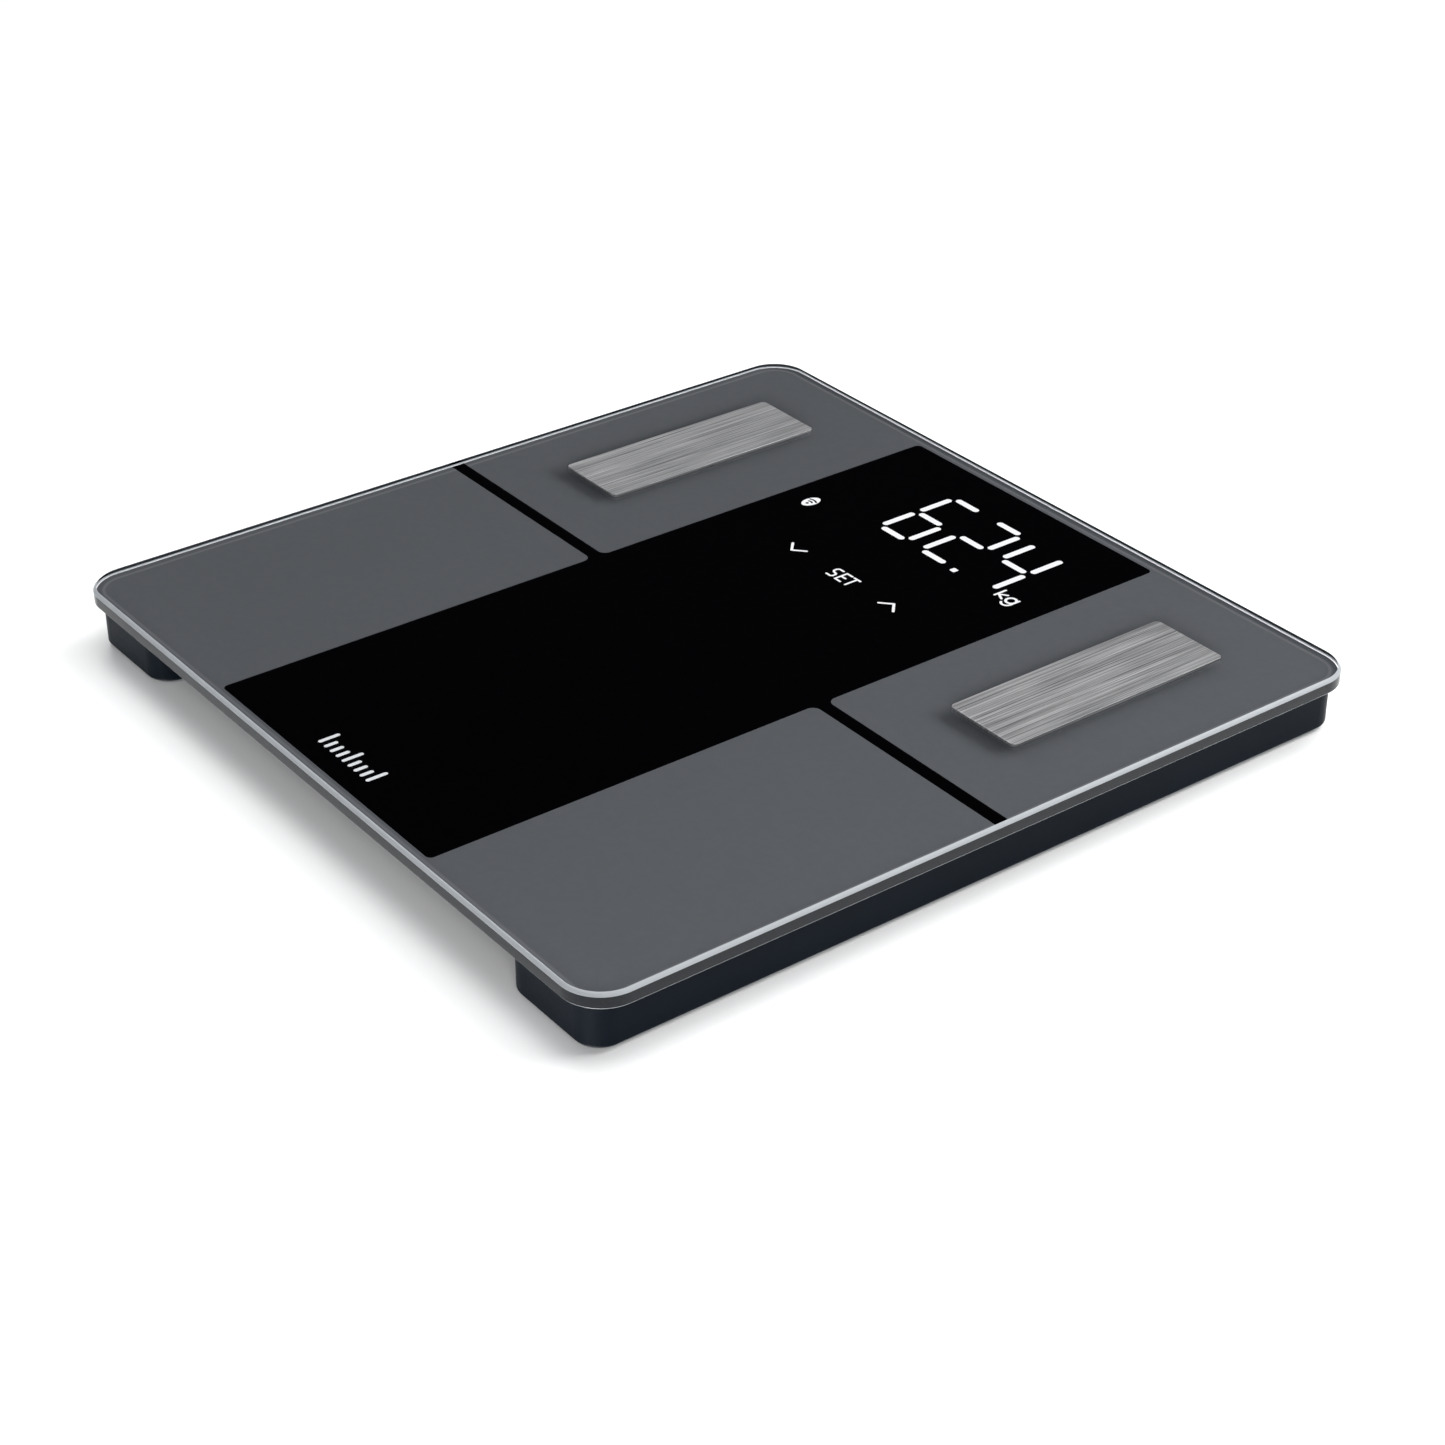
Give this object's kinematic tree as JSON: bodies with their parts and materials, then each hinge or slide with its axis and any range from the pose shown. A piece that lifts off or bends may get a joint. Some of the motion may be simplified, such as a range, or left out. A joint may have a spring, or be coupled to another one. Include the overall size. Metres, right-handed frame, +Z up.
{
  "type": "bathroom scale",
  "caption": "Square glass platform scale with dark full-length rails, two steel foot electrodes, a lit digital reading and touch keys under the glass.",
  "frame": {"origin": "on the floor under the middle of the platform, at the bottom of the rubber feet", "axes": "+Z up, +Y towards the end with the display, +X to the standing user's right"},
  "size_m": [0.3, 0.3, 0.0236],
  "materials": {
    "clear_glass": "polished toughened glass with ground edges",
    "grey_ink": "screen-printed grey ink film",
    "black_ink": "screen-printed black ink film",
    "lit_mark": "translucent white, lit from behind",
    "white_ink": "screen-printed white ink",
    "brushed_electrode": "long brushed grain",
    "foam_tape": "double-sided foam tape",
    "dark_housing": "fine moulded texture",
    "load_cell_steel": "nickel plated sheet",
    "cap_plastic": "moulded natural plastic",
    "cup_plastic": "moulded",
    "foot_rubber": "matt rubber",
    "gauge_film": "bonded foil gauge",
    "nickel": "nickel plated",
    "insulator": "red fibre washer",
    "battery_wrap": "printed shrink wrap",
    "board_green": "solder mask",
    "white_plastic": "moulded white plastic",
    "led_lens": "clear moulded resin",
    "pad_foam": "conductive foam",
    "chip_black": "moulded epoxy",
    "shield_can": "tinned shield",
    "label_film": "silver polyester label",
    "cable_sheath": "soft cable sheath",
    "lead_sheath": "soft wire insulation"
  },
  "bodies": {
    "platform": {"battery_1": "battery_wrap", "battery_2": "battery_wrap", "battery_3": "battery_wrap", "battery_leads": "lead_sheath", "battery_plates": "nickel", "battery_springs": "nickel", "black_print": "black_ink", "board_connectors": "white_plastic", "board_screws": "nickel", "cell_cable_far_left": "cable_sheath", "cell_cable_far_right": "cable_sheath", "cell_cable_near_left": "cable_sheath", "cell_cable_near_right": "cable_sheath", "cell_cap_far_left": "cap_plastic", "cell_cap_far_right": "cap_plastic", "cell_cap_near_left": "cap_plastic", "cell_cap_near_right": "cap_plastic", "center_housing": "dark_housing", "diffuser_film": "white_plastic", "display_leds": "led_lens", "display_light_box": "white_plastic", "electrode_bonds": "foam_tape", "electrode_leads": "lead_sheath", "electrode_left": "brushed_electrode", "electrode_right": "brushed_electrode", "glass_platform": "clear_glass", "graduation_mark": "white_ink", "grey_print": "grey_ink", "housing_tape": "foam_tape", "key_legends": "lit_mark", "lit_radio_icon": "lit_mark", "lit_reading": "lit_mark", "lit_unit": "lit_mark", "load_cell_far_left": "load_cell_steel", "load_cell_far_right": "load_cell_steel", "load_cell_near_left": "load_cell_steel", "load_cell_near_right": "load_cell_steel", "main_board": "board_green", "main_chip": "chip_black", "radio_module": "shield_can", "rail_left": "dark_housing", "rail_right": "dark_housing", "rail_tape_left": "foam_tape", "rail_tape_right": "foam_tape", "rating_label": "label_film", "ring_terminals": "nickel", "strain_gauges": "gauge_film", "stud_nuts": "nickel", "stud_washers": "insulator", "touch_pads": "pad_foam"},
    "foot_near_left": {"foot_cup_near_left": "cup_plastic", "rubber_pad_near_left": "foot_rubber"},
    "foot_near_right": {"foot_cup_near_right": "cup_plastic", "rubber_pad_near_right": "foot_rubber"},
    "foot_far_left": {"foot_cup_far_left": "cup_plastic", "rubber_pad_far_left": "foot_rubber"},
    "foot_far_right": {"foot_cup_far_right": "cup_plastic", "rubber_pad_far_right": "foot_rubber"},
    "door": {"battery_door": "dark_housing"}
  },
  "joints": [
    {"name": "foot_press_near_left", "type": "slide", "parent": "platform", "child": "foot_near_left", "axis": [0, 0, 1], "range_m": [0, 0.0008], "stiffness_N_per_m": 5000},
    {"name": "foot_press_near_right", "type": "slide", "parent": "platform", "child": "foot_near_right", "axis": [0, 0, 1], "range_m": [0, 0.0008], "stiffness_N_per_m": 5000},
    {"name": "foot_press_far_left", "type": "slide", "parent": "platform", "child": "foot_far_left", "axis": [0, 0, 1], "range_m": [0, 0.0008], "stiffness_N_per_m": 5000},
    {"name": "foot_press_far_right", "type": "slide", "parent": "platform", "child": "foot_far_right", "axis": [0, 0, 1], "range_m": [0, 0.0008], "stiffness_N_per_m": 5000},
    {"name": "battery_door_hinge", "type": "hinge", "parent": "platform", "child": "door", "pos_m": [0, 0.00735, 0.0026], "axis": [-1, 0, 0], "range_deg": [0, 80]}
  ]
}
